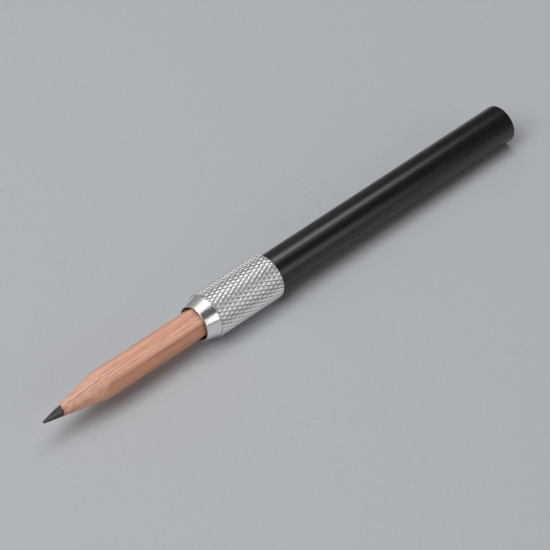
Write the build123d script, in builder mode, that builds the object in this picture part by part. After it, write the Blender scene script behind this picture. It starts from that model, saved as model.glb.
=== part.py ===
from build123d import *
import os
from math import cos, radians, sin, tan

# A pencil extender: a metal handle with a screw chuck in its mouth, holding a short pencil stub.
# Sizes are millimetres. Stations run along the pen's axis from the point of the pencil to the tail.

# Pencil stub: two cedar slats glued round a lead, hexagonal with rounded corners
pencil_sides = 6
pencil_across_flats = 7.0
pencil_corner_radius = 1.4
pencil_length = 80.0
pencil_showing = 48.1
lead_diameter = 2.5
lead_tip_radius = 0.35
point_half_angle = 10.9
hex_corner_angle = 41.7

# Barrel: tube with a counterbored mouth, a neck under the collar and a plug in its tail
barrel_length = 84.4
barrel_wall = 0.65
mouth_wall = 0.55
neck_depth = 0.2
tail_rim_radius = 0.5
plug_length = 6.0
plug_edge = 0.25

# Chuck: sleeve with a spigot in the barrel's mouth, a thread and four spring fingers
spigot_wall = 0.4
spigot_length = 8.0
thread_step = 0.3
thread_length = 5.4
finger_count = 4
slit_width = 0.5
finger_length = 9.8
spring_thickness = 0.5
head_length = 5.0
head_cone_length = 3.0
finger_tip_wall = 0.28
finger_mouth = 0.15

# Closing ring: its inner cone pushes the fingers in
closing_half_angle = 7.0
closing_ring_length = 3.4
closing_ring_wall = 0.28
closing_ring_lead = 0.7

# Collar: knurled nut with a tapered nose
collar_wall = 0.68
collar_lap = 3.9
collar_gap = 0.3
collar_seat_setback = 0.7
collar_rear_radius = 0.3
nose_length = 3.6
nose_rim_wall = 0.7
nose_rim_radius = 0.25
nose_mouth = 0.3
knurl_step = 0.25
knurl_bevel_length = 0.4
thread_runout = 0.9

# Angle of the plane that the turned pieces are drawn on, up from -Y
profile_angle = 95.3

# Clearances, all on the radius
nose_clearance = 0.16
chuck_clearance = 0.1
grip_clearance = 0.05
closing_clearance = 0.05
turning_clearance = 0.05

# Radii, built up from the pencil outwards
half_side_angle = 180 / pencil_sides
flat_radius = pencil_across_flats / 2
corner_centre = (flat_radius - pencil_corner_radius) / cos(radians(half_side_angle))
corner_reach = corner_centre + pencil_corner_radius
lead_radius = lead_diameter / 2
chuck_bore_radius = corner_reach + chuck_clearance
spigot_radius = chuck_bore_radius + spigot_wall
barrel_radius = spigot_radius + mouth_wall
barrel_bore_radius = barrel_radius - barrel_wall
neck_radius = barrel_radius - neck_depth
thread_radius = barrel_radius + thread_step
thread_bore_radius = thread_radius + turning_clearance
collar_radius = thread_bore_radius + collar_wall
grip_radius = corner_reach + grip_clearance
spring_radius = chuck_bore_radius + spring_thickness
closing_slope = tan(radians(closing_half_angle))
finger_tip_radius = grip_radius + finger_tip_wall
finger_head_radius = finger_tip_radius + head_cone_length * closing_slope
ring_front_bore = finger_tip_radius + closing_clearance - closing_ring_lead * closing_slope
ring_rear_bore = ring_front_bore + closing_ring_length * closing_slope
ring_radius = ring_rear_bore + closing_ring_wall
guide_bore_radius = ring_radius + turning_clearance
nose_bore_radius = corner_reach + nose_clearance
nose_radius = nose_bore_radius + nose_rim_wall
cone_back_radius = collar_radius - knurl_step

# Stations along the axis, from the nose rim backwards
nose_rim = pencil_showing
knurl_front = nose_rim + nose_length
ring_front = knurl_front + collar_seat_setback
ring_rear = ring_front + closing_ring_length
finger_front = ring_front + closing_ring_lead
head_rear = finger_front + head_length
chuck_front = finger_front + finger_length
thread_bore_front = chuck_front - thread_runout
barrel_front = chuck_front + thread_length
spigot_rear = barrel_front + spigot_length
collar_rear = barrel_front + collar_lap
neck_rear = collar_rear + collar_gap
tail = barrel_front + barrel_length
plug_front = tail - plug_length

# Sharpened point: one cone shared by the lead and the wood, with a round tip tangent to it
point_slope = tan(radians(point_half_angle))
tip_tangent = lead_tip_radius * (1 - sin(radians(point_half_angle)))
tip_tangent_radius = lead_tip_radius * cos(radians(point_half_angle))
point_apex = tip_tangent - tip_tangent_radius / point_slope
lead_cone_rear = point_apex + lead_radius / point_slope
wood_cone_rear = point_apex + pencil_across_flats / point_slope

# The pen lies along +X with its point at -X and its collar on the ground plane
tip_point = Vector(-tail / 2, 0, collar_radius)
pen_axis = Axis(tip_point, (1, 0, 0))


def section_at(angle):
    """Plane through the axis: local X is the station and local Y the radius, at an angle up from -Y."""
    across = Vector(0, -cos(radians(angle)), sin(radians(angle)))
    return Plane(origin=tip_point, x_dir=(1, 0, 0), z_dir=Vector(1, 0, 0).cross(across))


# Turned pieces are drawn just beside the top line, so that their seam lies away from the ground
long_section = section_at(profile_angle)
seam_angle = hex_corner_angle + half_side_angle
seam_section = section_at(seam_angle)
stub_end = Plane(
    origin=tip_point + Vector(pencil_length, 0, 0), x_dir=seam_section.y_dir, z_dir=(-1, 0, 0)
)

os.makedirs("parts", exist_ok=True)


# Barrel tube: open mouth stepped for the chuck, neck for the collar to run over, tail rim rounded
with BuildPart() as barrel_tube:
    with BuildSketch(long_section):
        with BuildLine():
            Polyline(
                (barrel_front, spigot_radius),
                (barrel_front, neck_radius),
                (neck_rear, neck_radius),
                (neck_rear, barrel_radius),
                (tail, barrel_radius),
                (tail, barrel_bore_radius),
                (spigot_rear, barrel_bore_radius),
                (spigot_rear, spigot_radius),
                close=True,
            )
        make_face()
    revolve(axis=pen_axis)
    tail_edges = barrel_tube.edges().group_by(Axis.X)[-1]
    fillet(tail_edges.sort_by(SortBy.LENGTH)[-1], tail_rim_radius)
barrel_tube.part.label = "barrel_tube"
export_step(barrel_tube.part, "parts/barrel_tube.step")


# End plug: pressed into the tail, flush with the tube, with a small bevel that shows the joint
with BuildPart() as end_plug:
    with BuildSketch(long_section):
        with BuildLine():
            Polyline(
                (plug_front, 0),
                (plug_front, barrel_bore_radius),
                (tail, barrel_bore_radius),
                (tail, 0),
                close=True,
            )
        make_face()
    revolve(axis=pen_axis)
    chamfer(end_plug.edges().filter_by(GeomType.CIRCLE), plug_edge)
end_plug.part.label = "end_plug"
export_step(end_plug.part, "parts/end_plug.step")


# Chuck body: spigot in the barrel's mouth and the thread in front of it
with BuildPart() as chuck_body:
    with BuildSketch(long_section):
        with BuildLine():
            Polyline(
                (chuck_front, chuck_bore_radius),
                (chuck_front, thread_radius),
                (barrel_front, thread_radius),
                (barrel_front, spigot_radius),
                (spigot_rear, spigot_radius),
                (spigot_rear, chuck_bore_radius),
                close=True,
            )
        make_face()
    revolve(axis=pen_axis)
chuck_body.part.label = "chuck_body"
export_step(chuck_body.part, "parts/chuck_body.step")


# Spring fingers: each a sector of a sleeve with a thick tapered head
finger_pitch = 360 / finger_count
slit_angle = slit_width / grip_radius / radians(1)
for number in range(1, finger_count + 1):
    upper_face = number * finger_pitch - slit_angle / 2
    with BuildPart() as collet_finger:
        with BuildSketch(section_at(upper_face)):
            with BuildLine():
                Polyline(
                    (finger_front, grip_radius + finger_mouth),
                    (finger_front, finger_tip_radius),
                    (finger_front + head_cone_length, finger_head_radius),
                    (head_rear, finger_head_radius),
                    (head_rear, spring_radius),
                    (chuck_front, spring_radius),
                    (chuck_front, chuck_bore_radius),
                    (head_rear, chuck_bore_radius),
                    (head_rear, grip_radius),
                    (finger_front + finger_mouth, grip_radius),
                    close=True,
                )
            make_face()
        revolve(axis=pen_axis, revolution_arc=finger_pitch - slit_angle)
    collet_finger.part.label = f"collet_finger_{number}"
    export_step(collet_finger.part, f"parts/collet_finger_{number}.step")


# Closing ring: cylinder outside, cone inside
with BuildPart() as closing_ring:
    with BuildSketch(long_section):
        with BuildLine():
            Polyline(
                (ring_front, ring_front_bore),
                (ring_front, ring_radius),
                (ring_rear, ring_radius),
                (ring_rear, ring_rear_bore),
                close=True,
            )
        make_face()
    revolve(axis=pen_axis)
closing_ring.part.label = "closing_ring"
export_step(closing_ring.part, "parts/closing_ring.step")


# Knurled collar: tapered nose, grip band, and a stepped bore for the pencil, the ring and the thread
with BuildPart() as knurled_collar:
    with BuildSketch(long_section):
        with BuildLine():
            Polyline(
                (nose_rim, nose_bore_radius + nose_mouth),
                (nose_rim, nose_radius),
                (knurl_front, cone_back_radius),
                (knurl_front + knurl_bevel_length, collar_radius),
                (collar_rear, collar_radius),
                (collar_rear, thread_bore_radius),
                (thread_bore_front, thread_bore_radius),
                (thread_bore_front, guide_bore_radius),
                (ring_front, guide_bore_radius),
                (ring_front, nose_bore_radius),
                (nose_rim + nose_mouth, nose_bore_radius),
                close=True,
            )
        make_face()
    revolve(axis=pen_axis)
    rim_edges = knurled_collar.edges().filter_by(GeomType.CIRCLE).group_by(Axis.X)
    fillet(rim_edges[-1].sort_by(SortBy.LENGTH)[-1], collar_rear_radius)
    fillet(rim_edges[0].sort_by(SortBy.LENGTH)[-1], nose_rim_radius)
knurled_collar.part.label = "knurled_collar"
export_step(knurled_collar.part, "parts/knurled_collar.step")


# Cedar slats: the hexagonal stub, sharpened, drilled for the lead and parted along the glue seam
for side, kept_side in (("front", Keep.TOP), ("back", Keep.BOTTOM)):
    with BuildPart() as cedar_slat:
        with BuildSketch(stub_end) as hexagon:
            RegularPolygon(flat_radius, pencil_sides, major_radius=False, rotation=half_side_angle)
            fillet(hexagon.vertices(), pencil_corner_radius)
        extrude(amount=pencil_length)
        with BuildSketch(long_section):
            with BuildLine():
                Polyline(
                    (point_apex, 0),
                    (wood_cone_rear, pencil_across_flats),
                    (pencil_length, pencil_across_flats),
                    (pencil_length, 0),
                    close=True,
                )
            make_face()
        revolve(axis=pen_axis, mode=Mode.INTERSECT)
        with BuildSketch(stub_end):
            Circle(lead_radius)
        extrude(amount=pencil_length, mode=Mode.SUBTRACT)
        split(bisect_by=seam_section, keep=kept_side)
    cedar_slat.part.label = f"cedar_slat_{side}"
    export_step(cedar_slat.part, f"parts/cedar_slat_{side}.step")


# Graphite lead: rod with a sharpened end and a round tip
with BuildPart() as graphite_lead:
    with BuildSketch(long_section):
        with BuildLine():
            tip_arc = CenterArc((lead_tip_radius, 0), lead_tip_radius, 180, point_half_angle - 90)
            Polyline(
                tip_arc @ 1,
                (lead_cone_rear, lead_radius),
                (pencil_length, lead_radius),
                (pencil_length, 0),
                tip_arc @ 0,
            )
        make_face()
    revolve(axis=pen_axis)
graphite_lead.part.label = "graphite_lead"
export_step(graphite_lead.part, "parts/graphite_lead.step")
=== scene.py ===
"""Looks of the pencil extender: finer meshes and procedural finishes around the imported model."""

import logging
import math
from dataclasses import dataclass
from enum import Enum
from typing import Callable, Mapping, Sequence

import bmesh
import bpy
from mathutils import Matrix, Vector


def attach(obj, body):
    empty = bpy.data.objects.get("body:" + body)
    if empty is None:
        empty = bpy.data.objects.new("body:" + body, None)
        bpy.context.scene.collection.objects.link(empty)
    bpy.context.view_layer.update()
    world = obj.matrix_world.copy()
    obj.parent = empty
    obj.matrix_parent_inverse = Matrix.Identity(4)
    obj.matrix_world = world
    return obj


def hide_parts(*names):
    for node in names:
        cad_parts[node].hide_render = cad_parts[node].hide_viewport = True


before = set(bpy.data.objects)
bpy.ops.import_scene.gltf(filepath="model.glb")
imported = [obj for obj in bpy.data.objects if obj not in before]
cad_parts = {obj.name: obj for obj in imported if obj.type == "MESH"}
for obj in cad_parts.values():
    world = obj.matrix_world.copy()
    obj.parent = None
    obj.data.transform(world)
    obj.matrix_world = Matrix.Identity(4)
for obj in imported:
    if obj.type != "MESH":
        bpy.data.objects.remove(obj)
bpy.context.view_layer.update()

LOG = logging.getLogger("pencil_extender")
MM = 0.001
FLOAT = "NodeSocketFloat"
GEOMETRY = "NodeSocketGeometry"
INTEGER = "NodeSocketInt"
VECTOR = "NodeSocketVector"

Mesh = bpy.types.Mesh
Material = bpy.types.Material
Node = bpy.types.Node
Piece = bpy.types.Object
Socket = bpy.types.NodeSocket
Tree = bpy.types.NodeTree
Colour = tuple[float, float, float, float]
Place = tuple[float, float, float]
Relief = Callable[[float, float, float], float]
# Millimetres of a blotch, and the two values that the blotches lie between
Blotches = tuple[float, float, float]
# Millimetres across a streak and along it
Streak = tuple[float, float]
# Range of a number, and the results at its two ends
Span = tuple[float, float, float, float]


class Body(Enum):
    """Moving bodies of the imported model."""

    BARREL = "barrel"
    COLLAR = "collar"
    PENCIL = "pencil"


class Slot(Enum):
    """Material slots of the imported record."""

    BLACK = "black_anodised"
    BRIGHT = "bright_aluminium"
    BRASS = "chuck_brass"
    STEEL = "ring_steel"
    CEDAR = "cedar"
    GRAPHITE = "graphite"


class Side(Enum):
    """The two halves of the pencil's wood."""

    FRONT = "front"
    BACK = "back"


@dataclass(frozen=True)
class PenAxis:
    """The pen's axis in the shared frame. Stations are millimetres from the point to the tail."""

    length: float = 152.7  # Station of the tail
    height: float = 5.904871  # Height of the axis over the ground

    def x(self, station: float) -> float:
        """Place of a station along X, in metres."""
        return (station - self.length / 2) * MM

    def place(self, station: float, radius: float, angle: float) -> Place:
        """Turns pen coordinates into a point of the shared frame.

        Args:
            station: Millimetres from the point.
            radius: Millimetres from the axis.
            angle: Radians up from -Y.

        Returns:
            The point in metres.
        """
        across = -radius * math.cos(angle)
        up = self.height + radius * math.sin(angle)
        return self.x(station), across * MM, up * MM


PEN = PenAxis()


def even_steps(start: float, end: float, count: int) -> list[float]:
    """Numbers at even steps, with both ends among them."""
    return [start + (end - start) * step / count for step in range(count + 1)]


def new_object(name: str, data: bpy.types.ID) -> bpy.types.Object:
    """Puts a mesh, a lamp or a camera in the scene.

    Args:
        name: Name of the object.
        data: What it shows.

    Returns:
        The object.
    """
    made = bpy.data.objects.new(name, data)
    bpy.context.scene.collection.objects.link(made)
    return made


def tidy_mesh(mesh: Mesh, crease: float) -> None:
    """Turns the faces of a closed mesh outwards and shades it.

    Args:
        mesh: The mesh to change.
        crease: Degrees of bend from which an edge is sharp.
    """
    work = bmesh.new()
    work.from_mesh(mesh)
    bmesh.ops.recalc_face_normals(work, faces=work.faces)
    work.to_mesh(mesh)
    work.free()
    mesh.shade_smooth()
    mesh.set_sharp_from_angle(angle=math.radians(crease))


class MeshDraft:
    """Points and faces of a mesh that is being made."""

    def __init__(self) -> None:
        """Starts with no points and no faces."""
        self.points: list[Place] = []
        self.faces: list[list[int]] = []

    def row(self, places: Sequence[Place]) -> list[int]:
        """Adds a row of points.

        Args:
            places: The points in order.

        Returns:
            Their numbers.
        """
        first = len(self.points)
        self.points.extend(places)
        return list(range(first, len(self.points)))

    def strip(self, one: Sequence[int], other: Sequence[int], around: bool = False) -> None:
        """Joins two rows by a strip of faces. A row of a single point makes a fan.

        Args:
            one: Point numbers of the first row.
            other: Point numbers of the second row.
            around: Whether the rows close on themselves.
        """
        count = max(len(one), len(other))
        for step in range(count if around else count - 1):
            after = (step + 1) % count
            corners = [
                one[step % len(one)],
                one[after % len(one)],
                other[after % len(other)],
                other[step % len(other)],
            ]
            corners = list(dict.fromkeys(corners))
            if len(corners) > 2:
                self.faces.append(corners)

    def mesh(self, name: str, crease: float) -> Mesh:
        """Makes the mesh, with its faces outwards and its edges sharp where it bends.

        Args:
            name: Name of the mesh.
            crease: Degrees of bend from which an edge is sharp.

        Returns:
            The mesh.
        """
        made = bpy.data.meshes.new(name)
        made.from_pydata(self.points, [], self.faces)
        tidy_mesh(made, crease)
        return made


@dataclass(frozen=True)
class Corner:
    """Corner of a turned outline, which may give way to an arc."""

    station: float
    radius: float
    rounding: float = 0.0  # Radius of the arc

    @property
    def spot(self) -> Vector:
        """Its station and radius."""
        return Vector((self.station, self.radius))


@dataclass(frozen=True)
class Turning:
    """A piece turned about the pen's axis."""

    corners: tuple[Corner, ...]
    columns: int
    first_angle: float = 0.0  # Degrees up from -Y
    closed: bool = True  # Whether the outline comes back to its start
    arc_steps: int = 6  # Divisions of each arc
    crease: float = 30.0  # Degrees of bend from which an edge is sharp
    relief: Relief | None = None  # Radius from the station, the plain radius and the angle

    def outline(self) -> list[tuple[float, float]]:
        """Works out the outline, with its rounded corners as arcs.

        Returns:
            Its stations and radii.
        """
        points: list[tuple[float, float]] = []
        for number, corner in enumerate(self.corners):
            here = corner.spot
            if corner.rounding == 0:
                points.append(tuple(here))
                continue
            back = (self.corners[number - 1].spot - here).normalized()
            onward = (self.corners[(number + 1) % len(self.corners)].spot - here).normalized()
            half = back.angle(onward) / 2
            reach = corner.rounding / math.tan(half)
            centre = here + (back + onward).normalized() * corner.rounding / math.sin(half)
            start = here + back * reach - centre
            end = here + onward * reach - centre
            first = math.atan2(start.y, start.x)
            sweep = math.remainder(math.atan2(end.y, end.x) - first, math.tau)
            for turn in even_steps(first, first + sweep, self.arc_steps):
                spoke = Vector((math.cos(turn), math.sin(turn))) * corner.rounding
                points.append(tuple(centre + spoke))
        return points

    def mesh(self, name: str) -> Mesh:
        """Turns the outline about the axis.

        Args:
            name: Name of the mesh.

        Returns:
            The mesh.
        """
        start = math.radians(self.first_angle)
        angles = even_steps(start, start + math.tau, self.columns)[:-1]
        draft = MeshDraft()
        rows: list[list[int]] = []
        for station, radius in self.outline():
            if radius < MM:
                rows.append(draft.row([PEN.place(station, 0.0, 0.0)]))
                continue
            ring = []
            for angle in angles:
                reach = self.relief(station, radius, angle) if self.relief else radius
                ring.append(PEN.place(station, reach, angle))
            rows.append(draft.row(ring))
        onward = rows[1:] + rows[:1] if self.closed else rows[1:]
        for one, other in zip(rows, onward):
            draft.strip(one, other, around=True)
        return draft.mesh(name, self.crease)


def arithmetic(name: str, swapped: bool = False) -> Callable[["Value", object], "Value"]:
    """Makes a method of Value that adds a Math node.

    Args:
        name: Blender's name of the operation.
        swapped: Whether the value is the second term.

    Returns:
        The method.
    """

    def method(value: "Value", other: object) -> "Value":
        """Adds the node."""
        terms = (other, value) if swapped else (value, other)
        return value.graph.math(name, *terms)

    return method


@dataclass(frozen=True, eq=False)
class Value:
    """Output of a node. Arithmetic on it adds further nodes to its graph."""

    graph: "Graph"
    socket: Socket

    __add__ = arithmetic("ADD")
    __sub__ = arithmetic("SUBTRACT")
    __mul__ = arithmetic("MULTIPLY")
    __truediv__ = arithmetic("DIVIDE")
    __rtruediv__ = arithmetic("DIVIDE", swapped=True)
    __pow__ = arithmetic("POWER")
    __mod__ = arithmetic("MODULO")


class Graph:
    """Adds nodes to a tree and joins them."""

    def __init__(self, tree: Tree) -> None:
        """Takes the tree to add to."""
        self.tree = tree

    def feed(self, socket: Socket, value: object) -> None:
        """Joins an output to an input, or sets a plain value on it.

        Args:
            socket: The input.
            value: An output or a plain value.
        """
        if isinstance(value, Value):
            self.tree.links.new(value.socket, socket)
        else:
            socket.default_value = value

    def add(self, kind: str, values: Mapping[str | int, object] | None = None, **settings: object) -> Node:
        """Adds a node.

        Args:
            kind: Blender's name of the node type.
            values: Outputs or plain values for its inputs, by name or number.
            **settings: Properties of the node.

        Returns:
            The node.
        """
        node = self.tree.nodes.new(kind)
        for name, setting in settings.items():
            setattr(node, name, setting)
        for key, value in (values or {}).items():
            self.feed(node.inputs[key], value)
        return node

    def out(
        self,
        kind: str,
        values: Mapping[str | int, object] | None = None,
        key: str | int = 0,
        **settings: object,
    ) -> Value:
        """Adds a node and gives its output of this name or number."""
        return Value(self, self.add(kind, values, **settings).outputs[key])

    def math(self, name: str, *terms: object) -> Value:
        """Works out a number by the operation of this name."""
        return self.out("ShaderNodeMath", dict(enumerate(terms)), operation=name)

    def vector(self, name: str, *terms: object) -> Value:
        """Works out a vector by the operation of this name."""
        return self.out("ShaderNodeVectorMath", dict(enumerate(terms)), operation=name)

    def scaled(self, vector: Value, factor: object) -> Value:
        """A vector times a number."""
        return self.out("ShaderNodeVectorMath", {0: vector, "Scale": factor}, operation="SCALE")

    def dot(self, vector: Value, direction: Place) -> Value:
        """How far a vector reaches in a direction."""
        return self.out("ShaderNodeVectorMath", {0: vector, 1: direction}, "Value", operation="DOT_PRODUCT")

    def split(self, vector: Value) -> list[Value]:
        """The three parts of a vector."""
        return [Value(self, part) for part in self.add("ShaderNodeSeparateXYZ", {0: vector}).outputs]

    def join(self, x: object, y: object, z: object) -> Value:
        """A vector from its three parts."""
        return self.out("ShaderNodeCombineXYZ", {0: x, 1: y, 2: z})

    def ramp(self, value: Value, low: object, high: object, start: object = 0.0, end: object = 1.0) -> Value:
        """Brings a number from one range to another, smoothly and without going past its ends."""
        values = {"Value": value, "From Min": low, "From Max": high, "To Min": start, "To Max": end}
        return self.out("ShaderNodeMapRange", values, interpolation_type="SMOOTHSTEP")

    def noise(self, place: Value, scale: float = 1.0, detail: float = 2.0, roughness: float = 0.5) -> Value:
        """Smooth noise at a place, around a half."""
        values = {"Vector": place, "Scale": scale, "Detail": detail, "Roughness": roughness}
        return self.out("ShaderNodeTexNoise", values)

    def blend(self, share: object, one: object, other: object) -> Value:
        """Mixes two colours by the share of the second. The node has sockets of its own for colours."""
        return self.out("ShaderNodeMix", {0: share, 6: one, 7: other}, 2, data_type="RGBA")

    def mix(self, share: object, one: object, other: object) -> Value:
        """Mixes two numbers by the share of the second."""
        return self.out("ShaderNodeMix", {0: share, 2: one, 3: other}, data_type="FLOAT")


class Group(Graph):
    """A node group with named inputs, which are in given, and outputs."""

    def __init__(
        self, name: str, kind: str, inputs: Mapping[str, tuple[str, object]], outputs: Mapping[str, str]
    ) -> None:
        """Makes the group with its sockets.

        Args:
            name: Name of the group.
            kind: Blender's name of the tree type.
            inputs: Socket type and starting value of each input.
            outputs: Socket type of each output.
        """
        super().__init__(bpy.data.node_groups.new(name, kind))
        for label, (socket_type, value) in inputs.items():
            socket = self.tree.interface.new_socket(label, in_out="INPUT", socket_type=socket_type)
            if value is not None:
                socket.default_value = value
        for label, socket_type in outputs.items():
            self.tree.interface.new_socket(label, in_out="OUTPUT", socket_type=socket_type)
        entry = self.add("NodeGroupInput")
        self.given = {label: Value(self, entry.outputs[label]) for label in inputs}
        self.exit = self.add("NodeGroupOutput")

    def give(self, results: Mapping[str, Value]) -> Tree:
        """Feeds the group's outputs.

        Args:
            results: The outputs by name.

        Returns:
            The finished tree.
        """
        for label, value in results.items():
            self.feed(self.exit.inputs[label], value)
        return self.tree


class SharedEffects:
    """Shader groups that several finishes use. All of them work in millimetres about the pen's axis."""

    KIND = "ShaderNodeTree"
    CLOUD = (0.3, 0.7)  # Range of the noise that makes the blotches

    def __init__(self) -> None:
        """Builds the groups."""
        self.pen_place = self.make_pen_place()
        self.lathe_lines = self.make_lathe_lines()
        self.mottle = self.make_mottle()
        self.streaks = self.make_streaks()

    def make_pen_place(self) -> Tree:
        """Makes the group for the place, the station and the radius of a point of the surface.

        Returns:
            The group.
        """
        outputs = {"Place": VECTOR, "Station": FLOAT, "Radius": FLOAT}
        group = Group("pen_place", self.KIND, {"Object": (VECTOR, None)}, outputs)
        tip = (PEN.x(0.0), 0.0, PEN.height * MM)
        place = group.scaled(group.vector("SUBTRACT", group.given["Object"], tip), 1 / MM)
        station, across, up = group.split(place)
        radius = group.math("SQRT", across**2.0 + up**2.0)
        return group.give({"Place": place, "Station": station, "Radius": radius})

    def make_lathe_lines(self) -> Tree:
        """Makes the group of fine lines that run round a turned surface, on its wall and on its ends.

        Returns:
            The group.
        """
        inputs = {"Station": (FLOAT, 0.0), "Radius": (FLOAT, 0.0), "Spacing": (FLOAT, 0.1)}
        group = Group("lathe_lines", self.KIND, inputs, {"Lines": FLOAT})
        turns = (group.given["Station"] + group.given["Radius"]) / group.given["Spacing"]
        values = {"W": turns, "Scale": 1.0, "Detail": 3.0, "Roughness": 0.6}
        return group.give({"Lines": group.out("ShaderNodeTexNoise", values, noise_dimensions="1D")})

    def make_mottle(self) -> Tree:
        """Makes the group of soft blotches between two values.

        Returns:
            The group.
        """
        sizes = {"Grain": (FLOAT, 1.0), "Low": (FLOAT, 0.0), "High": (FLOAT, 1.0)}
        group = Group("mottle", self.KIND, {"Place": (VECTOR, None), **sizes}, {"Value": FLOAT})
        place = group.scaled(group.given["Place"], 1.0 / group.given["Grain"])
        cloud = group.noise(place, detail=4.0, roughness=0.6)
        value = group.ramp(cloud, *self.CLOUD, group.given["Low"], group.given["High"])
        return group.give({"Value": value})

    def make_streaks(self) -> Tree:
        """Makes the group of streaks that run along the pen.

        Returns:
            The group.
        """
        inputs = {"Place": (VECTOR, None), "Width": (FLOAT, 0.2), "Length": (FLOAT, 8.0)}
        group = Group("streaks", self.KIND, inputs, {"Streaks": FLOAT})
        width = group.given["Width"]
        station, across, up = group.split(group.given["Place"])
        drawn = group.join(station / group.given["Length"], across / width, up / width)
        return group.give({"Streaks": group.noise(drawn, detail=3.0, roughness=0.6)})


EFFECTS = SharedEffects()


class Skin(Graph):
    """Nodes of a material, and where on the pen a point of its surface is.

    The spot is in metres. The place from the pencil's tip, the station and the radius are in millimetres.
    """

    def __init__(self, material: Material) -> None:
        """Finds the shader and adds the nodes for the place.

        Args:
            material: The material.
        """
        super().__init__(material.node_tree)
        self.shader = material.node_tree.nodes["Principled BSDF"].inputs
        self.spot = self.out("ShaderNodeTexCoord", key="Object")
        pen = self.add("ShaderNodeGroup", {"Object": self.spot}, node_tree=EFFECTS.pen_place)
        self.place, self.station, self.radius = (Value(self, part) for part in pen.outputs)

    def effect(self, tree: Tree, values: Mapping[str, object]) -> Value:
        """Places a shared effect with its own values."""
        return self.out("ShaderNodeGroup", values, node_tree=tree)

    def mottle(self, grain: float, low: float = 0.0, high: float = 1.0) -> Value:
        """Soft blotches of one size between two values."""
        return self.effect(EFFECTS.mottle, {"Place": self.place, "Grain": grain, "Low": low, "High": high})

    def streaks(self, width: float, length: float) -> Value:
        """Streaks of one size along the pen, around a half."""
        return self.effect(EFFECTS.streaks, {"Place": self.place, "Width": width, "Length": length})

    def lathe_lines(self, spacing: float) -> Value:
        """Lathe lines that many millimetres apart, around a half."""
        values = {"Station": self.station, "Radius": self.radius, "Spacing": spacing}
        return self.effect(EFFECTS.lathe_lines, values)

    def bump(self, height: Value, depth: float, strength: float = 1.0) -> Value:
        """Normal from a height, of which one stands for the depth in millimetres."""
        values = {"Height": height, "Distance": depth * MM, "Strength": strength}
        return self.out("ShaderNodeBump", values)

    def shade(self, values: Mapping[str, object]) -> None:
        """Feeds the shader's inputs, by name."""
        for name, value in values.items():
            self.feed(self.shader[name], value)


@dataclass(frozen=True)
class Finish:
    """Finish of a surface. Lengths in finishes are millimetres and angles degrees."""

    name: str

    def material(self) -> Material:
        """Makes the material and dresses its shader.

        Returns:
            The material.
        """
        made = bpy.data.materials.new(self.name)
        made.use_nodes = True
        self.dress(Skin(made))
        return made

    def dress(self, skin: Skin) -> None:
        """Adds the finish's own nodes. Each finish has its own."""
        raise NotImplementedError


@dataclass(frozen=True)
class TurnedMetal(Finish):
    """Bare turned metal."""

    bright: Colour
    dull: Colour
    gloss: Blotches
    line_spacing: float = 0.08
    line_depth: float = 0.003
    tarnish_grain: float = 1.6

    def dress(self, skin: Skin) -> None:
        """Adds tarnish, uneven gloss and lathe lines.

        Args:
            skin: Nodes of the material.
        """
        lines = skin.lathe_lines(self.line_spacing)
        skin.shade({
            "Base Color": skin.blend(skin.mottle(self.tarnish_grain), self.bright, self.dull),
            "Roughness": skin.mottle(*self.gloss),
            "Normal": skin.bump(lines, self.line_depth),
            "Metallic": 1.0,
        })


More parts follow.
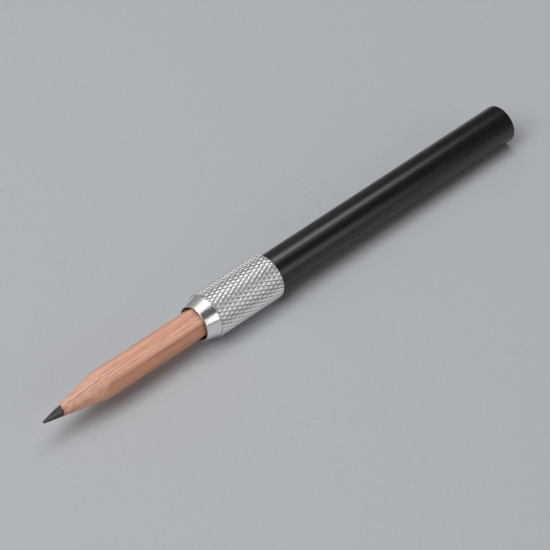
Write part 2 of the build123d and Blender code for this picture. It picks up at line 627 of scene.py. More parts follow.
@dataclass(frozen=True)
class KnurledMetal(TurnedMetal):
    """Bright metal: polished nose, knurl with dirt and painted shade in its grooves, painted shade in the
    bore.
    """

    tarnish_grain: float = 1.2
    band: Span = (51.65, 51.75, 0.0, 1.0)  # Stations where the nose gives way to the knurl
    teeth: Span = (5.7, 5.9, 1.0, 0.0)  # Radii of the teeth, and how low they are
    front_groove_shade: Span = (51.8, 52.2, 1.6, 0.0)  # Stations of the first grooves, and the strength of the painted shade in them
    pit_power: float = 4.0  # Narrows the dirt and painted shade in the other grooves
    # Dirt and painted shade in the grooves: their colour, then the blotches of their strength
    groove_dirt_and_shade: Colour = (0.30, 0.30, 0.31, 1.0)
    groove_dirt_and_shade_blotches: Blotches = (0.7, 0.55, 1.0)
    torn_scale: float = 7.0  # Torn places in a millimetre of the knurl
    polish: Blotches = (0.9, 0.16, 0.24)  # Roughness of the nose
    mouth_station: float = 48.1
    mouth_radius: float = 4.48
    nose_slope: float = 0.26  # Radius gained in one millimetre
    bore_radius: float = 5.6  # Radius that the bore stays under
    bore_shade_depth: Span = (0.01, 0.12, 0.0, 1.0)  # Depth under the skin, and the share of the painted shade in the bore
    # Painted shade in the bore and the nose's mouth
    bore_shade: Colour = (0.2, 0.19, 0.185, 1.0)

    def dress(self, skin: Skin) -> None:
        """Adds the polish of the nose, wear on the knurl, dirt and painted shade in its grooves, and painted
        shade in the bore.

        Args:
            skin: Nodes of the material.
        """
        band = skin.ramp(skin.station, *self.band)
        low = skin.ramp(skin.radius, *self.teeth)
        # Darkens the grooves with dirt and painted shade; at the front of the band the painted shade fills
        # more of each groove
        deep = skin.math("MAXIMUM", low**self.pit_power, low * skin.ramp(skin.station, *self.front_groove_shade))
        dirt_and_shade_in_grooves = skin.math("MINIMUM", deep, 1.0) * skin.mottle(*self.groove_dirt_and_shade_blotches) * band
        metal = skin.blend(skin.mottle(self.tarnish_grain), self.bright, self.dull)
        outside = skin.blend(dirt_and_shade_in_grooves, metal, self.groove_dirt_and_shade)
        lines = skin.lathe_lines(self.line_spacing)
        relief = skin.mix(band, lines, skin.noise(skin.place, self.torn_scale))
        skin.shade({
            # Painted shade in the bore
            "Base Color": skin.blend(self.painted_bore_shade(skin), outside, self.bore_shade),
            "Roughness": skin.mix(band, skin.mottle(*self.polish), skin.mottle(*self.gloss)),
            "Normal": skin.bump(relief, self.line_depth),
            "Metallic": 1.0,
        })

    def painted_bore_shade(self, skin: Skin) -> Value:
        """Finds the bore, which gets painted shade.

        Args:
            skin: Nodes of the material.

        Returns:
            One in the bore and zero on the outer skin.
        """
        nose = (skin.station - self.mouth_station) * self.nose_slope + self.mouth_radius
        limit = skin.math("MINIMUM", nose, self.bore_radius)
        return skin.ramp(limit - skin.radius, *self.bore_shade_depth)


@dataclass(frozen=True)
class BlackAnodised(Finish):
    """Satin black anodised aluminium."""

    deep: Colour = (0.003, 0.003, 0.0033, 1.0)
    worn: Colour = (0.012, 0.012, 0.0125, 1.0)
    gloss: Blotches = (0.6, 0.26, 0.30)
    cloud: Blotches = (3.0, 0.0, 0.4)  # Wear all over
    rim_stations: Span = (152.1, 152.5, 0.0, 1.0)  # Where the tail rim is rubbed
    rim_radii: Span = (4.3, 4.5, 0.0, 1.0)  # Where the tail rim is rubbed
    rub_grain: float = 0.8
    drawn: Streak = (0.12, 14.0)  # Lines along the tube
    drawn_depth: float = 0.0008
    ior: float = 1.6

    def dress(self, skin: Skin) -> None:
        """Adds uneven gloss, drawn lines along the tube and a rubbed rim.

        Args:
            skin: Nodes of the material.
        """
        rim = skin.ramp(skin.station, *self.rim_stations) * skin.ramp(skin.radius, *self.rim_radii)
        wear = skin.math("MAXIMUM", skin.mottle(*self.cloud), rim * skin.mottle(self.rub_grain))
        skin.shade({
            "Base Color": skin.blend(wear, self.deep, self.worn),
            "Roughness": skin.mottle(*self.gloss),
            "Normal": skin.bump(skin.streaks(*self.drawn), self.drawn_depth),
            "IOR": self.ior,
        })


@dataclass(frozen=True)
class Cedar(Finish):
    """Raw cedar, cut along its grain on the stub and across it on the sharpened cone."""

    pale: Colour = (0.93, 0.515, 0.378, 1.0)  # Early wood
    red: Colour = (0.50, 0.21, 0.12, 1.0)  # Late wood
    rosy_tint_and_underside_shade: Colour = (0.83, 0.395, 0.245, 1.0)  # Redder tint in streaks, and painted shade on the side that faces down and to the front
    cut: Colour = (0.88, 0.555, 0.41, 1.0)  # Sharpened cone
    fleck: Colour = (0.36, 0.15, 0.09, 1.0)  # Short dark fibres
    glue: Colour = (0.16, 0.07, 0.045, 1.0)
    smudge: Colour = (0.16, 0.13, 0.115, 1.0)  # Graphite dust by the lead
    fibre: Streak = (0.32, 8.0)
    vein: Streak = (0.7, 26.0)
    short: Streak = (0.2, 1.8)
    tint: Streak = (1.6, 60.0)
    patch: Streak = (0.35, 1.2)  # Dusty patches
    tint_share: Span = (0.48, 0.74, 0.0, 1.0)
    late_share: Span = (0.3, 0.65, 0.2, 0.56)
    vein_share: Span = (0.5, 0.72, 0.0, 0.2)
    fibre_share: Span = (0.44, 0.7, 0.0, 0.42)
    short_share: Span = (0.55, 0.72, 0.0, 0.40)
    patch_share: Span = (0.42, 0.66, 0.0, 1.0)
    cut_share: float = 0.55
    gloss: Span = (0.3, 0.7, 0.5, 0.68)  # Roughness over the fibres
    relief: float = 0.04  # Depth of the fibres
    relief_strength: float = 0.7
    fibre_height: float = -1.0  # Beside the depth
    short_height: float = -0.5  # Beside the depth
    specular: float = 0.35
    ring_spacing: float = 1.65
    pith: tuple[float, float] = (20.2, 16.36)  # From the axis to the tree's centre, across and up
    drift: tuple[float, float] = (0.014, -0.012)  # How far the rings wander in one millimetre
    sway_scale: Place = (0.03, 0.5, 0.5)  # How quickly the rings sway along the pen, across it and up
    sway: float = 0.9  # How far the rings sway
    ring_rise: Span = (0.66, 0.93, 0.0, 1.0)  # Where the late wood comes in within a ring
    ring_drop: Span = (0.94, 1.0, 1.0, 0.0)  # Where the late wood ends within a ring
    painted_shade_angle: float = -5.0  # Up from -Y, the side given painted shade as a redder tint
    painted_shade_share: Span = (0.55, 0.9, 0.0, 1.0)  # How far a place faces that way, and the share of the painted shade
    least_radius: float = 0.1  # No side is told nearer to the axis
    point_apex: float = -1.5009  # Station of the cone's apex
    point_slope: float = 0.19257  # Radius that the cone gains in one millimetre
    cone_edge: Span = (0.03, 0.10, 1.0, 0.0)  # Depth under the cone, and the share of its colour
    seam_angle: float = 71.7  # Up from -Y
    seam: Span = (0.03, 0.13, 1.0, 0.0)  # Distance from the glue seam, and the strength of its line
    seam_breaks: Place = (0.35, 0.0, 0.0)  # How quickly the line breaks along the pen
    seam_gaps: tuple[float, float, float] = (0.3, 0.6, 0.15)  # Where the line breaks, and what is left of it
    seam_most: tuple[float, float] = (0.42, 0.95)  # Strength of the line on the stub and on the cone
    dust: Span = (4.99, 7.19, 0.75, 0.0)  # Stations by the lead, and the strength of the dust

    def dress(self, skin: Skin) -> None:
        """Adds rings, fibres, the paler cone, painted shade on the side that faces down and to the front, the
        glue line and a little graphite dust.

        Args:
            skin: Nodes of the material.
        """
        fibre = skin.streaks(*self.fibre)
        short = skin.streaks(*self.short)
        cone = self.cone(skin)
        tint = skin.ramp(skin.streaks(*self.tint), *self.tint_share)
        dust = skin.ramp(skin.station, *self.dust) * skin.ramp(skin.streaks(*self.patch), *self.patch_share)
        # The redder tint lies in streaks and, as painted shade, on the side that faces down and to the front
        wood = skin.blend(skin.math("MAXIMUM", tint, self.painted_underside_shade(skin)), self.pale, self.rosy_tint_and_underside_shade)
        layers = (
            (cone * self.cut_share, self.cut),
            (self.rings(skin) * skin.ramp(fibre, *self.late_share), self.red),
            (skin.ramp(skin.streaks(*self.vein), *self.vein_share), self.red),
            (skin.ramp(fibre, *self.fibre_share), self.red),
            (skin.ramp(short, *self.short_share), self.fleck),
            (self.glue_line(skin, cone), self.glue),
            (dust, self.smudge),
        )
        for share, colour in layers:
            wood = skin.blend(share, wood, colour)
        height = fibre * self.fibre_height + short * self.short_height
        skin.shade({
            "Base Color": wood,
            "Roughness": skin.ramp(fibre, *self.gloss),
            "Normal": skin.bump(height, self.relief, self.relief_strength),
            "Specular IOR Level": self.specular,
        })

    def rings(self, skin: Skin) -> Value:
        """Lays the rings round the tree's centre.

        Args:
            skin: Nodes of the material.

        Returns:
            Share of late wood, which rises through each ring and drops at its end.
        """
        station, across, up = skin.split(skin.place)
        side = across - self.pith[0] + station * self.drift[0]
        rise = up - self.pith[1] + station * self.drift[1]
        sway = skin.noise(skin.vector("MULTIPLY", skin.place, self.sway_scale)) * self.sway
        distance = skin.math("SQRT", side**2.0 + rise**2.0) + sway
        within = skin.math("FRACT", distance / self.ring_spacing)
        return skin.ramp(within, *self.ring_rise) * skin.ramp(within, *self.ring_drop)

    def painted_underside_shade(self, skin: Skin) -> Value:
        """Paints shade, as a redder tint, on the side of the stub that faces down and to the front.

        Args:
            skin: Nodes of the material.

        Returns:
            One on that side.
        """
        angle = math.radians(self.painted_shade_angle)
        towards = skin.dot(skin.place, (0.0, -math.cos(angle), math.sin(angle)))
        facing = towards / skin.math("MAXIMUM", skin.radius, self.least_radius)
        return skin.ramp(facing, *self.painted_shade_share)

    def cone(self, skin: Skin) -> Value:
        """One on the sharpened cone and zero on the stub."""
        radius = (skin.station - self.point_apex) * self.point_slope
        return skin.ramp(radius - skin.radius, *self.cone_edge)

    def glue_line(self, skin: Skin, cone: Value) -> Value:
        """Draws a broken dark line along the glue seam, plainer on the cone.

        Args:
            skin: Nodes of the material.
            cone: One on the cone.

        Returns:
            Strength of the line.
        """
        angle = math.radians(self.seam_angle)
        offset = skin.dot(skin.place, (0.0, -math.sin(angle), -math.cos(angle)))
        line = skin.ramp(skin.math("ABSOLUTE", offset), *self.seam)
        broken = skin.noise(skin.vector("MULTIPLY", skin.place, self.seam_breaks), detail=3.0)
        return line * skin.ramp(broken, *self.seam_gaps, skin.ramp(cone, 0.0, 1.0, *self.seam_most))


@dataclass(frozen=True)
class Graphite(Finish):
    """Sharpened graphite, grey with a soft shine and scraped along its point."""

    dark: Colour = (0.03, 0.029, 0.03, 1.0)
    shine: Colour = (0.18, 0.178, 0.172, 1.0)
    shine_share: Span = (0.35, 0.68, 0.0, 1.0)  # Share of the shine over the scrapes
    gloss: Span = (0.3, 0.7, 0.52, 0.36)  # Roughness over the scrapes
    scrapes_along: float = 0.25  # Scrapes in a millimetre of the point
    scrapes_round: float = 4.5  # Scrapes in a radius' length round it
    least_radius: float = 0.05  # Scrapes keep one width nearer to the axis
    line_spacing: float = 0.12  # Lines that the sharpener left
    line_share: float = 0.35  # Height of the lines beside that of the scrapes
    depth: float = 0.03
    metallic: float = 0.2
    specular: float = 0.12

    def dress(self, skin: Skin) -> None:
        """Adds scrapes that follow the point, and uneven shine.

        Args:
            skin: Nodes of the material.
        """
        station, across, up = skin.split(skin.place)
        radius = skin.math("MAXIMUM", skin.radius, self.least_radius)
        around = (part / radius * self.scrapes_round for part in (across, up))
        scrape = skin.noise(skin.join(station * self.scrapes_along, *around), detail=3.0, roughness=0.6)
        relief = scrape + skin.lathe_lines(self.line_spacing) * self.line_share
        skin.shade({
            "Base Color": skin.blend(skin.ramp(scrape, *self.shine_share), self.dark, self.shine),
            "Roughness": skin.ramp(scrape, *self.gloss),
            "Normal": skin.bump(relief, self.depth),
            "Metallic": self.metallic,
            "Specular IOR Level": self.specular,
        })


@dataclass(frozen=True)
class PaleFloor(Finish):
    """Matt pale floor."""

    light: Colour = (0.56, 0.58, 0.61, 1.0)
    shade: Colour = (0.53, 0.55, 0.58, 1.0)
    grain: float = 0.0006  # In metres
    roughness: float = 0.75
    specular: float = 0.2

    def dress(self, skin: Skin) -> None:
        """Adds a faint mottle.

        Args:
            skin: Nodes of the material.
        """
        cloud = skin.effect(EFFECTS.mottle, {"Place": skin.spot, "Grain": self.grain})
        skin.shade({
            "Base Color": skin.blend(cloud, self.light, self.shade),
            "Roughness": self.roughness,
            "Specular IOR Level": self.specular,
        })


def place_piece(name: str, mesh: Mesh, material: Material, body: Body, node: str) -> Piece:
    """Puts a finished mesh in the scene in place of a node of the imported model.

    Args:
        name: Name of the piece.
        mesh: Its mesh, in the shared frame.
        material: Its material.
        body: Body that it moves with.
        node: Node that it stands for.

    Returns:
        The piece.
    """
    mesh.materials.clear()
    mesh.materials.append(material)
    piece = new_object(name, mesh)
    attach(piece, body.value)
    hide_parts(node)
    return piece


@dataclass(frozen=True)
class Barrel:
    """The black handle: a tube with a neck at its mouth, a seat for the chuck and a plug in its tail.

    Sizes in the sub-assemblies are millimetres. Fronts, rears and the tail are stations.
    """

    front: float = 68.3
    neck_rear: float = 72.5
    seat_rear: float = 76.3
    tail: float = 152.7
    radius: float = 4.874871
    neck_radius: float = 4.674871
    seat_radius: float = 4.324871
    bore_radius: float = 4.224871
    rim_rounding: float = 0.5
    edge_break: float = 0.06  # Rounding of the neck's edges
    plug_front: float = 146.7
    plug_edge: float = 0.25
    finish: BlackAnodised = BlackAnodised("black_anodised")

    def tube(self) -> Turning:
        """Draws the tube.

        Returns:
            Its outline.
        """
        corners = (
            Corner(self.front, self.seat_radius),
            Corner(self.front, self.neck_radius, self.edge_break),
            Corner(self.neck_rear, self.neck_radius),
            Corner(self.neck_rear, self.radius, self.edge_break),
            Corner(self.tail, self.radius, self.rim_rounding),
            Corner(self.tail, self.bore_radius),
            Corner(self.seat_rear, self.bore_radius),
            Corner(self.seat_rear, self.seat_radius),
        )
        return Turning(corners, columns=192)

    def plug(self) -> Turning:
        """Draws the plug.

        Returns:
            Its outline.
        """
        corners = (
            Corner(self.plug_front, 0.0),
            Corner(self.plug_front, self.bore_radius - self.plug_edge),
            Corner(self.plug_front + self.plug_edge, self.bore_radius),
            Corner(self.tail - self.plug_edge, self.bore_radius),
            Corner(self.tail, self.bore_radius - self.plug_edge),
            Corner(self.tail, 0.0),
        )
        return Turning(corners, columns=128)

    def build(self) -> list[Piece]:
        """Makes the tube and the plug.

        Returns:
            The pieces.
        """
        material = self.finish.material()
        pieces = []
        for name, node, turning in (
            ("handle_tube", "barrel_tube", self.tube()),
            ("tail_plug", "end_plug", self.plug()),
        ):
            pieces.append(place_piece(name, turning.mesh(name), material, Body.BARREL, node))
        return pieces


@dataclass(frozen=True)
class Chuck:
    """The brass chuck: a sleeve with a screw thread, four spring fingers and the ring that closes them."""

    front: float = 62.9
    thread_rear: float = 68.3
    rear: float = 76.3
    bore_radius: float = 3.924871
    crest_radius: float = 5.174871
    spigot_radius: float = 4.324871  # Part in the barrel
    pitch: float = 0.75
    depth: float = 0.36
    run_in: float = 0.7  # Length over which the thread rises at its ends
    rows_per_turn: int = 12  # Divisions of the mesh along one turn
    brass: TurnedMetal = TurnedMetal(
        "chuck_brass", (0.80, 0.60, 0.27, 1.0), (0.55, 0.38, 0.16, 1.0), (0.5, 0.22, 0.4)
    )
    steel: TurnedMetal = TurnedMetal(
        "ring_steel", (0.62, 0.62, 0.63, 1.0), (0.42, 0.42, 0.43, 1.0), (0.5, 0.24, 0.42)
    )

    def thread(self, station: float, radius: float, angle: float) -> float:
        """Cuts the right-hand thread into the sleeve.

        Args:
            station: Millimetres from the point.
            radius: Radius before the cut.
            angle: Radians up from -Y.

        Returns:
            Radius after the cut.
        """
        if radius < self.crest_radius - MM:
            return radius
        turns = station / self.pitch + angle / math.tau
        wave = abs(2 * (turns % 1.0) - 1)
        ends = min(station - self.front, self.thread_rear - station) / self.run_in
        return radius - self.depth * wave * min(max(ends, 0.0), 1.0)

    def sleeve(self) -> Turning:
        """Draws the sleeve, with a row of points for every step of the thread.

        Returns:
            Its outline.
        """
        rows = round((self.thread_rear - self.front) / self.pitch * self.rows_per_turn)
        stations = even_steps(self.front, self.thread_rear, rows)
        corners = (
            Corner(self.front, self.bore_radius),
            *(Corner(station, self.crest_radius) for station in stations),
            Corner(self.thread_rear, self.spigot_radius),
            Corner(self.rear, self.spigot_radius),
            Corner(self.rear, self.bore_radius),
        )
        return Turning(corners, columns=120, crease=40.0, relief=self.thread)

    def build(self) -> list[Piece]:
        """Makes the sleeve and dresses the fingers and the ring, whose solids stay.

        Returns:
            The pieces.
        """
        brass = self.brass.material()
        steel = self.steel.material()
        sleeve = self.sleeve().mesh("threaded_chuck")
        pieces = [place_piece("threaded_chuck", sleeve, brass, Body.BARREL, "chuck_body")]
        fingers = sorted(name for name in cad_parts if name.startswith("collet_finger"))
        for name, material in [*((finger, brass) for finger in fingers), ("closing_ring", steel)]:
            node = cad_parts[name]
            node.data.materials.clear()
            node.data.materials.append(material)
            pieces.append(node)
        return pieces


class KnurlTree(Group):
    """Geometry Nodes tree that adds a diamond knurl to a turned body.

    A tooth is a small pyramid on a rhombus. It is repeated on a staggered lattice that lies flat, with the
    station along X and the angle along Y, and the lattice is then wrapped round the pen's axis.
    """

    LINES = 7
    PROFILE = ((0.0, 1.0), (0.333, 0.93), (0.667, 0.70), (1.0, 0.0))
    MERGE_DISTANCE = 2e-6
    INPUTS = {
        "Geometry": (GEOMETRY, None),
        "Starts": (INTEGER, 34),
        "Rows": (INTEGER, 8),
        "Front": (FLOAT, 0.0),
        "Rear": (FLOAT, 0.02),
        "Valley Radius": (FLOAT, 0.0056),
        "Crest Radius": (FLOAT, 0.0059),
        "Front Edge Radius": (FLOAT, 0.0056),
        "Front Rim Radius": (FLOAT, 0.0058),
        "Rear Rim Radius": (FLOAT, 0.0057),
        "Rim Slope": (FLOAT, 0.6),
        "First Angle": (FLOAT, 0.0),
        "Axis Height": (FLOAT, 0.006),
        "Material": ("NodeSocketMaterial", None),
    }

    def __init__(self) -> None:
        """Builds the tree."""
        super().__init__("diamond_knurl", "GeometryNodeTree", self.INPUTS, {"Geometry": GEOMETRY})
        given = self.given
        self.half_angle = math.pi / given["Starts"]
        self.half_pitch = (given["Rear"] - given["Front"]) / (given["Rows"] * 2.0)
        teeth = self.out("GeometryNodeInstanceOnPoints", {"Points": self.lattice(), "Instance": self.tooth()})
        loose = self.out("GeometryNodeRealizeInstances", {"Geometry": teeth})
        both = self.add("GeometryNodeJoinGeometry")
        for part in (self.moved(loose, self.wrap()), given["Geometry"]):
            self.feed(both.inputs[0], part)
        seams = {"Geometry": Value(self, both.outputs[0]), "Distance": self.MERGE_DISTANCE}
        merged = self.out("GeometryNodeMergeByDistance", seams)
        solid = self.out("GeometryNodeRealizeInstances", {"Geometry": merged})
        dressed = self.out("GeometryNodeSetMaterial", {"Geometry": solid, "Material": given["Material"]})
        self.give({"Geometry": dressed})

    def moved(self, geometry: Value, place: Value) -> Value:
        """Moves the points of a geometry to their places."""
        return self.out("GeometryNodeSetPosition", {"Geometry": geometry, "Position": place})

    def lattice(self) -> Value:
        """Lays out the centres of the teeth, every second ring of them shifted by half a tooth.

        Returns:
            The points.
        """
        starts = self.given["Starts"]
        rings = self.given["Rows"] * 2.0 + 1.0
        grid = self.out("GeometryNodeMeshGrid", {"Vertices X": rings, "Vertices Y": starts})
        number = self.out("GeometryNodeInputIndex")
        ring = self.math("FLOOR", (number + 0.5) / starts)
        steps = (number % starts) * 2.0 + ring % 2.0
        x = self.given["Front"] + ring * self.half_pitch
        angle = self.given["First Angle"] + steps * self.half_angle
        return self.moved(grid, self.join(x, angle, 0.0))

    def tooth(self) -> Value:
        """Makes one tooth: a grid stood on its corner and raised to a pyramid with a blunt top.

        Returns:
            The tooth.
        """
        values = {"Size X": 1.0, "Size Y": 1.0, "Vertices X": self.LINES, "Vertices Y": self.LINES}
        grid = self.out("GeometryNodeMeshGrid", values)
        one, other, _ = self.split(self.out("GeometryNodeInputPosition"))
        reach = self.math("MAXIMUM", self.math("ABSOLUTE", one), self.math("ABSOLUTE", other)) * 2.0
        height: float | Value = self.PROFILE[0][1]
        for (inner, high), (outer, low) in zip(self.PROFILE, self.PROFILE[1:]):
            slope = (low - high) / (outer - inner)
            height = self.math("MINIMUM", height, reach * slope + (high - slope * inner))
        place = self.join((one - other) * self.half_pitch, (one + other) * self.half_angle, height)
        return self.moved(grid, place)

    def wrap(self) -> Value:
        """Wraps the flat lattice round the pen, cut off square and bevelled at both ends.

        Returns:
            Place on the pen of a point of the lattice.
        """
        given = self.given
        along, angle, height = self.split(self.out("GeometryNodeInputPosition"))
        x = self.math("MINIMUM", self.math("MAXIMUM", along, given["Front"]), given["Rear"])
        from_front = x - given["Front"]
        from_rear = given["Rear"] - x
        radius = given["Valley Radius"] + height * (given["Crest Radius"] - given["Valley Radius"])
        for distance, rim in ((from_front, "Front Rim Radius"), (from_rear, "Rear Rim Radius")):
            radius = self.math("MINIMUM", radius, given[rim] + distance * given["Rim Slope"])
        radius = self.math("MAXIMUM", radius, given["Front Edge Radius"] - from_front)
        across = self.math("COSINE", angle) * radius * -1.0
        up = given["Axis Height"] + self.math("SINE", angle) * radius
        return self.join(x, across, up)

    def apply(self, piece: Piece, values: Mapping[str, object]) -> None:
        """Runs the tree on a piece and keeps the result as its mesh.

        Args:
            piece: The turned body.
            values: Inputs of the tree by name.
        """
        modifier = piece.modifiers.new("knurl", "NODES")
        modifier.node_group = self.tree
        for item in self.tree.interface.items_tree:
            if item.in_out == "INPUT" and item.name in values:
                modifier[item.identifier] = values[item.name]
        graph = bpy.context.evaluated_depsgraph_get()
        mesh = bpy.data.meshes.new_from_object(piece.evaluated_get(graph), depsgraph=graph)
        piece.modifiers.remove(modifier)
        piece.data = mesh


@dataclass(frozen=True)
class Collar:
    """The bright collar: a polished tapered nose and a knurled grip."""

    rim: float = 48.1  # Station of the nose's rim
    knurl_front: float = 51.7
    seat: float = 52.4  # Station of the closing ring's seat
    thread_front: float = 62.0
    rear: float = 72.2
    rim_radius: float = 4.684871
    rim_rounding: float = 0.15
    mouth: float = 0.5  # Bevel of the nose's bore
    nose_bore: float = 3.984871
    cone_radius: float = 5.654871  # Nose where the knurl starts
    guide_bore: float = 4.866388  # Round the closing ring
    thread_bore: float = 5.224871
    rear_bevel: float = 0.1
    crest_radius: float = 5.904871
    knurl_depth: float = 0.20
    front_drop: float = 0.04  # From the knurl's top to its front rim
    rear_drop: float = 0.20  # From the knurl's top to its rear rim
    starts: int = 34  # Grooves each way
    rows: int = 8  # Teeth along the band
    first_angle: float = 28.1  # Degrees up from -Y of a line of teeth
    tooth_crease: float = 20.0  # Degrees of bend from which an edge is sharp
    finish: KnurledMetal = KnurledMetal(
        "bright_aluminium", (0.97, 0.97, 0.97, 1.0), (0.94, 0.94, 0.945, 1.0), (0.35, 0.34, 0.44), 0.06, 0.002
    )

    def body(self) -> Turning:
        """Draws all but the knurled band, from its front round the bore to its rear.

        Returns:
            The outline.
        """
        valley = self.crest_radius - self.knurl_depth
        corners = (
            Corner(self.knurl_front, valley),
            Corner(self.knurl_front, self.cone_radius),
            Corner(self.rim, self.rim_radius, self.rim_rounding),
            Corner(self.rim, self.nose_bore + self.mouth),
            Corner(self.rim + self.mouth, self.nose_bore),
            Corner(self.seat, self.nose_bore),
            Corner(self.seat, self.guide_bore),
            Corner(self.thread_front, self.guide_bore),
            Corner(self.thread_front, self.thread_bore),
            Corner(self.rear - self.rear_bevel, self.thread_bore),
            Corner(self.rear, self.thread_bore + self.rear_bevel),
            Corner(self.rear, valley),
        )
        columns = self.starts * 2 * (KnurlTree.LINES - 1)
        return Turning(corners, columns, self.first_angle, closed=False)

    def build(self) -> list[Piece]:
        """Makes the collar: turns its body and adds the knurl.

        Returns:
            The piece.
        """
        material = self.finish.material()
        mesh = self.body().mesh("knurled_grip")
        mesh.materials.append(material)
        blank = new_object("collar_blank", mesh)
        values = {
            "Starts": self.starts,
            "Rows": self.rows,
            "Front": PEN.x(self.knurl_front),
            "Rear": PEN.x(self.rear),
            "Valley Radius": (self.crest_radius - self.knurl_depth) * MM,
            "Crest Radius": self.crest_radius * MM,
            "Front Edge Radius": self.cone_radius * MM,
            "Front Rim Radius": (self.crest_radius - self.front_drop) * MM,
            "Rear Rim Radius": (self.crest_radius - self.rear_drop) * MM,
            "First Angle": math.radians(self.first_angle),
            "Axis Height": PEN.height * MM,
            "Material": material,
        }
        KnurlTree().apply(blank, values)
        knurled = blank.data
        bpy.data.objects.remove(blank)
        tidy_mesh(knurled, self.tooth_crease)
        return [place_piece("knurled_grip", knurled, material, Body.COLLAR, "knurled_collar")]


@dataclass(frozen=True)
class PencilStub:
    """The pencil stub: two cedar slats round a lead, sharpened to a point."""

    length: float = 80.0
    flat_radius: float = 3.5  # From the axis to a flat
    corner_rounding: float = 1.4
    corner_angle: float = 41.7  # Degrees up from -Y
    half_side: float = 30.0  # Degrees from a corner to the middle of a flat
    lead_radius: float = 1.25
    channel_gap: float = 0.005  # Room between the lead and the wood
    tip_rounding: float = 0.35
    half_angle: float = 10.9  # Degrees, of the sharpened cone
    seam_notch: float = 0.05  # Depth of the notch along the glue seam
    end_bevel: float = 0.12
    ragged: float = 0.60  # From the cone's edge on the lead to the middle of the wood's ragged edge
    ragged_waves: tuple[Place, ...] = (  # Number round the lead, height and phase
        (1, 0.30, -0.9), (3, 0.11, 0.6), (7, 0.08, 2.1), (13, 0.06, 4.0), (31, 0.04, 1.3)
    )
    columns: int = 150
    cone_rows: int = 12
    body_rows: int = 16
    tip_rows: int = 6
    crease: float = 28.0  # Degrees of bend from which an edge is sharp
    cedar: Cedar = Cedar("cedar")
    graphite: Graphite = Graphite("graphite")

    @property
    def seam_angle(self) -> float:
        """Angle of the glue seam, in the middle of a flat, in degrees."""
        return self.corner_angle + self.half_side

    @property
    def slope(self) -> float:
        """Radius that the cone gains in one millimetre."""
        return math.tan(math.radians(self.half_angle))

    @property
    def apex(self) -> float:
        """Station of the apex of the cone, in front of the rounded tip."""
        half = math.radians(self.half_angle)
        return self.tip_rounding * (1 - math.sin(half)) - self.tip_rounding * math.cos(half) / self.slope

    def hexagon(self, angle: float) -> float:
        """Radius of the rounded hexagon.

        Args:
            angle: Radians up from -Y.

        Returns:
            Millimetres from the axis.
        """
        half = math.radians(self.half_side)
        turn = abs(math.remainder(angle - math.radians(self.corner_angle), 2 * half))
        rounding = self.corner_rounding
        centre = (self.flat_radius - rounding) / math.cos(half)
        if turn > math.atan2(rounding * math.sin(half), centre + rounding * math.cos(half)):
            return self.flat_radius / math.cos(half - turn)
        return centre * math.cos(turn) + math.sqrt(rounding**2 - (centre * math.sin(turn)) ** 2)

    def wood_start(self, angle: float) -> float:
        """Station of the ragged edge where the knife left the wood on the lead.

        Args:
            angle: Radians up from -Y.

        Returns:
            The station.
        """
        ragged = self.ragged
        for waves, height, phase in self.ragged_waves:
            ragged += height * math.sin(waves * angle + phase)
        return self.apex + self.lead_radius / self.slope + ragged

    def column(self, angle: float, notch: float) -> tuple[list[Place], list[Place]]:
        """Points of a slat at one angle, from its ragged edge to its rear end.

        Args:
            angle: Radians up from -Y.
            notch: Depth that is cut off the outer wall there.

        Returns:
            The points of the outer wall and those of the channel.
        """
        channel = self.lead_radius + self.channel_gap
        flat = self.hexagon(angle)
        shoulder = self.apex + flat / self.slope
        cone = even_steps(self.wood_start(angle), shoulder, self.cone_rows)[:-1]
        stations = cone + even_steps(shoulder, self.length - self.end_bevel, self.body_rows)
        outer = []
        for station in stations:
            radius = min((station - self.apex) * self.slope, flat) - notch
            outer.append(PEN.place(station, max(radius, channel), angle))
        outer.append(PEN.place(self.length, flat - self.end_bevel - notch, angle))
        inner = [PEN.place(station, channel, angle) for station in [*stations, self.length]]
        return outer, inner

    def slat(self, side: Side) -> Mesh:
        """Makes one slat.

        Args:
            side: Which half of the wood.

        Returns:
            The mesh.
        """
        start = math.radians(self.seam_angle - (180 if side is Side.FRONT else 0))
        columns = []
        for number, angle in enumerate(even_steps(start, start + math.pi, self.columns)):
            columns.append(self.column(angle, self.seam_notch if number in (0, self.columns) else 0.0))
        draft = MeshDraft()
        outer, inner = ([draft.row(places) for places in wall] for wall in zip(*columns))
        for wall in (outer, inner):
            for one, other in zip(wall, wall[1:]):
                draft.strip(one, other)
        for end in (0, -1):
            draft.strip(outer[end], inner[end])
            draft.strip([row[end] for row in outer], [row[end] for row in inner])
        mesh = draft.mesh(f"cedar_{side.value}", self.crease)
        self.sharpen_shoulder(mesh, outer)
        return mesh

    def sharpen_shoulder(self, mesh: Mesh, rows: Sequence[Sequence[int]]) -> None:
        """Marks the edge between the cone and the flats as sharp.

        Args:
            mesh: The slat.
            rows: Point numbers of its outer wall, column by column.
        """
        shoulder = {row[self.cone_rows] for row in rows}
        for edge in mesh.edges:
            if edge.vertices[0] in shoulder and edge.vertices[1] in shoulder:
                edge.use_edge_sharp = True

    def lead(self) -> Turning:
        """Draws the lead.

        Returns:
            Its outline.
        """
        tip = []
        for turn in even_steps(0.0, math.radians(90 - self.half_angle), self.tip_rows):
            tip.append(Corner(self.tip_rounding * (1 - math.cos(turn)), self.tip_rounding * math.sin(turn)))
        corners = (
            *tip,
            Corner(self.apex + self.lead_radius / self.slope, self.lead_radius),
            Corner(self.length, self.lead_radius),
            Corner(self.length, 0.0),
        )
        return Turning(corners, columns=96)

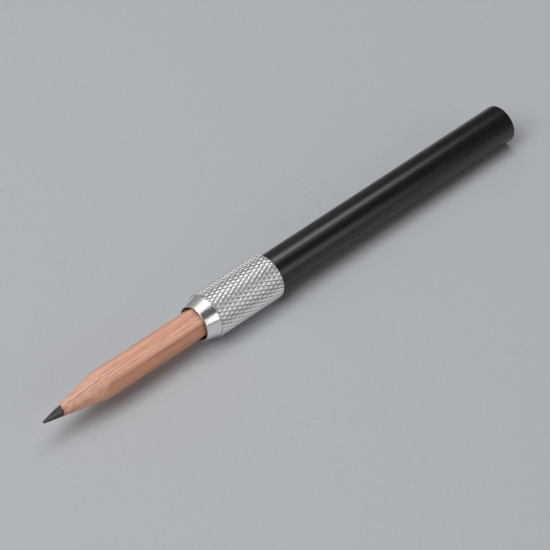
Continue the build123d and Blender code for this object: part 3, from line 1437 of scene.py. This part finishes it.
    def build(self) -> list[Piece]:
        """Makes the slats and the lead.

        Returns:
            The pieces.
        """
        cedar = self.cedar.material()
        graphite = self.graphite.material()
        pieces = []
        for side in Side:
            node = f"cedar_slat_{side.value}"
            name = f"cedar_{side.value}"
            pieces.append(place_piece(name, self.slat(side), cedar, Body.PENCIL, node))
        name = "sharpened_lead"
        lead = self.lead().mesh(name)
        pieces.append(place_piece(name, lead, graphite, Body.PENCIL, "graphite_lead"))
        return pieces


@dataclass(frozen=True)
class Softbox:
    """A soft studio lamp. Its places and sizes are in metres."""

    name: str
    place: Place
    aim: Place
    size: tuple[float, float]
    radiance: float
    colour: tuple[float, float, float] = (1.0, 1.0, 1.0)

    def build(self) -> None:
        """Hangs the lamp."""
        lamp = bpy.data.lights.new(self.name, "AREA")
        lamp.shape = "RECTANGLE"
        lamp.size, lamp.size_y = self.size
        lamp.energy = self.radiance * math.pi * self.size[0] * self.size[1]
        lamp.color = self.colour
        hung = new_object(self.name, lamp)
        hung.location = self.place
        away = (Vector(self.place) - Vector(self.aim)).normalized()
        across = (Vector((1.0, 0.0, 0.0)) - away * away.x).normalized()
        hung.rotation_euler = Matrix((across, away.cross(across), away)).transposed().to_euler()
        hung.visible_camera = False


@dataclass(frozen=True)
class Studio:
    """Floor, lamps, surroundings and camera. Lengths are in metres."""

    azimuth: float = -44.65  # Degrees that the camera stands round from -Y
    elevation: float = 41.56  # Degrees that the camera looks down
    distance: float = 1.1876  # From the camera to its target
    target: Place = (-0.0014885, 0.0000825, 0.0045023)
    focal_pixels: float = 5000.0
    frame_pixels: float = 550.0
    sensor: float = 36.0  # Width in millimetres
    clip: tuple[float, float] = (0.05, 50.0)  # Nearest and furthest that the camera sees
    floor_half: float = 6.0  # Half the floor's width
    floor_under: float = -0.00415  # Where the floor is under the collar, along X
    floor_tilt: float = 0.738  # Degrees, so that collar and tail both touch the floor
    surround: float = 0.09  # Brightness of the surroundings
    surround_colour: Colour = (0.97, 0.98, 1.0, 1.0)
    lamps: tuple[Softbox, ...] = (
        Softbox("overhead_core", (0.33, 0.165, 0.65), (0.33, 0.165, 0.0), (0.34, 0.25), 2.7),
        Softbox("overhead_soft", (0.04, 0.17, 0.65), (0.04, 0.17, 0.0), (0.50, 0.52), 0.55),
        Softbox("overhead_wide", (0.10, 0.30, 0.66), (0.10, 0.30, 0.0), (0.70, 0.90), 0.40),
        Softbox("front_strip", (0.18, -0.64, 0.29), (0.18, 0.0, 0.29), (0.56, 0.42), 1.15, (1.0, 0.98, 0.94)),
        Softbox("left_softbox", (-0.56, 0.0, 0.70), (0.0, 0.0, 0.0), (0.60, 0.60), 3.6),
        Softbox("back_softbox", (0.10, 0.95, 0.42), (0.0, 0.0, 0.0), (1.20, 0.60), 0.20),
    )
    floor: PaleFloor = PaleFloor("pale_floor")

    def build(self) -> None:
        """Sets up the whole studio."""
        self.lay_floor()
        for lamp in self.lamps:
            lamp.build()
        self.light_surroundings()
        self.stand_camera()
        bpy.context.scene.view_settings.view_transform = "Standard"

    def lay_floor(self) -> None:
        """Lays the floor under the collar and the tail."""
        rise = math.tan(math.radians(self.floor_tilt))
        half = self.floor_half
        corners = []
        for x, y in ((-half, -half), (half, -half), (half, half), (-half, half)):
            corners.append((x, y, (x - self.floor_under) * rise))
        mesh = bpy.data.meshes.new("floor")
        mesh.from_pydata(corners, [], [(0, 1, 2, 3)])
        mesh.materials.append(self.floor.material())
        floor = new_object("floor", mesh)

    def light_surroundings(self) -> None:
        """Gives the surroundings an even dim light."""
        world = bpy.data.worlds.new("studio")
        world.use_nodes = True
        background = world.node_tree.nodes["Background"]
        background.inputs["Color"].default_value = self.surround_colour
        background.inputs["Strength"].default_value = self.surround
        bpy.context.scene.world = world

    def stand_camera(self) -> None:
        """Stands the camera where the photograph was taken from."""
        turn = math.radians(self.azimuth)
        rise = math.radians(self.elevation)
        level = Vector((math.sin(turn), -math.cos(turn), 0.0)) * math.cos(rise)
        back = level + Vector((0.0, 0.0, math.sin(rise)))
        lens = bpy.data.cameras.new("camera")
        lens.sensor_width = self.sensor
        lens.lens = self.focal_pixels / self.frame_pixels * self.sensor
        lens.clip_start, lens.clip_end = self.clip
        camera = new_object("camera", lens)
        camera.location = Vector(self.target) + back * self.distance
        camera.rotation_euler = back.to_track_quat("Z", "Y").to_euler()
        bpy.context.scene.camera = camera


def main() -> None:
    """Builds the sub-assemblies in order, then the studio."""
    logging.basicConfig(level=logging.INFO, format="%(message)s")
    for assembly in (Barrel(), Chuck(), Collar(), PencilStub()):
        for piece in assembly.build():
            LOG.info("%s: %s, %d faces", type(assembly).__name__, piece.name, len(piece.data.polygons))
    Studio().build()


if __name__ == "__main__":
    main()
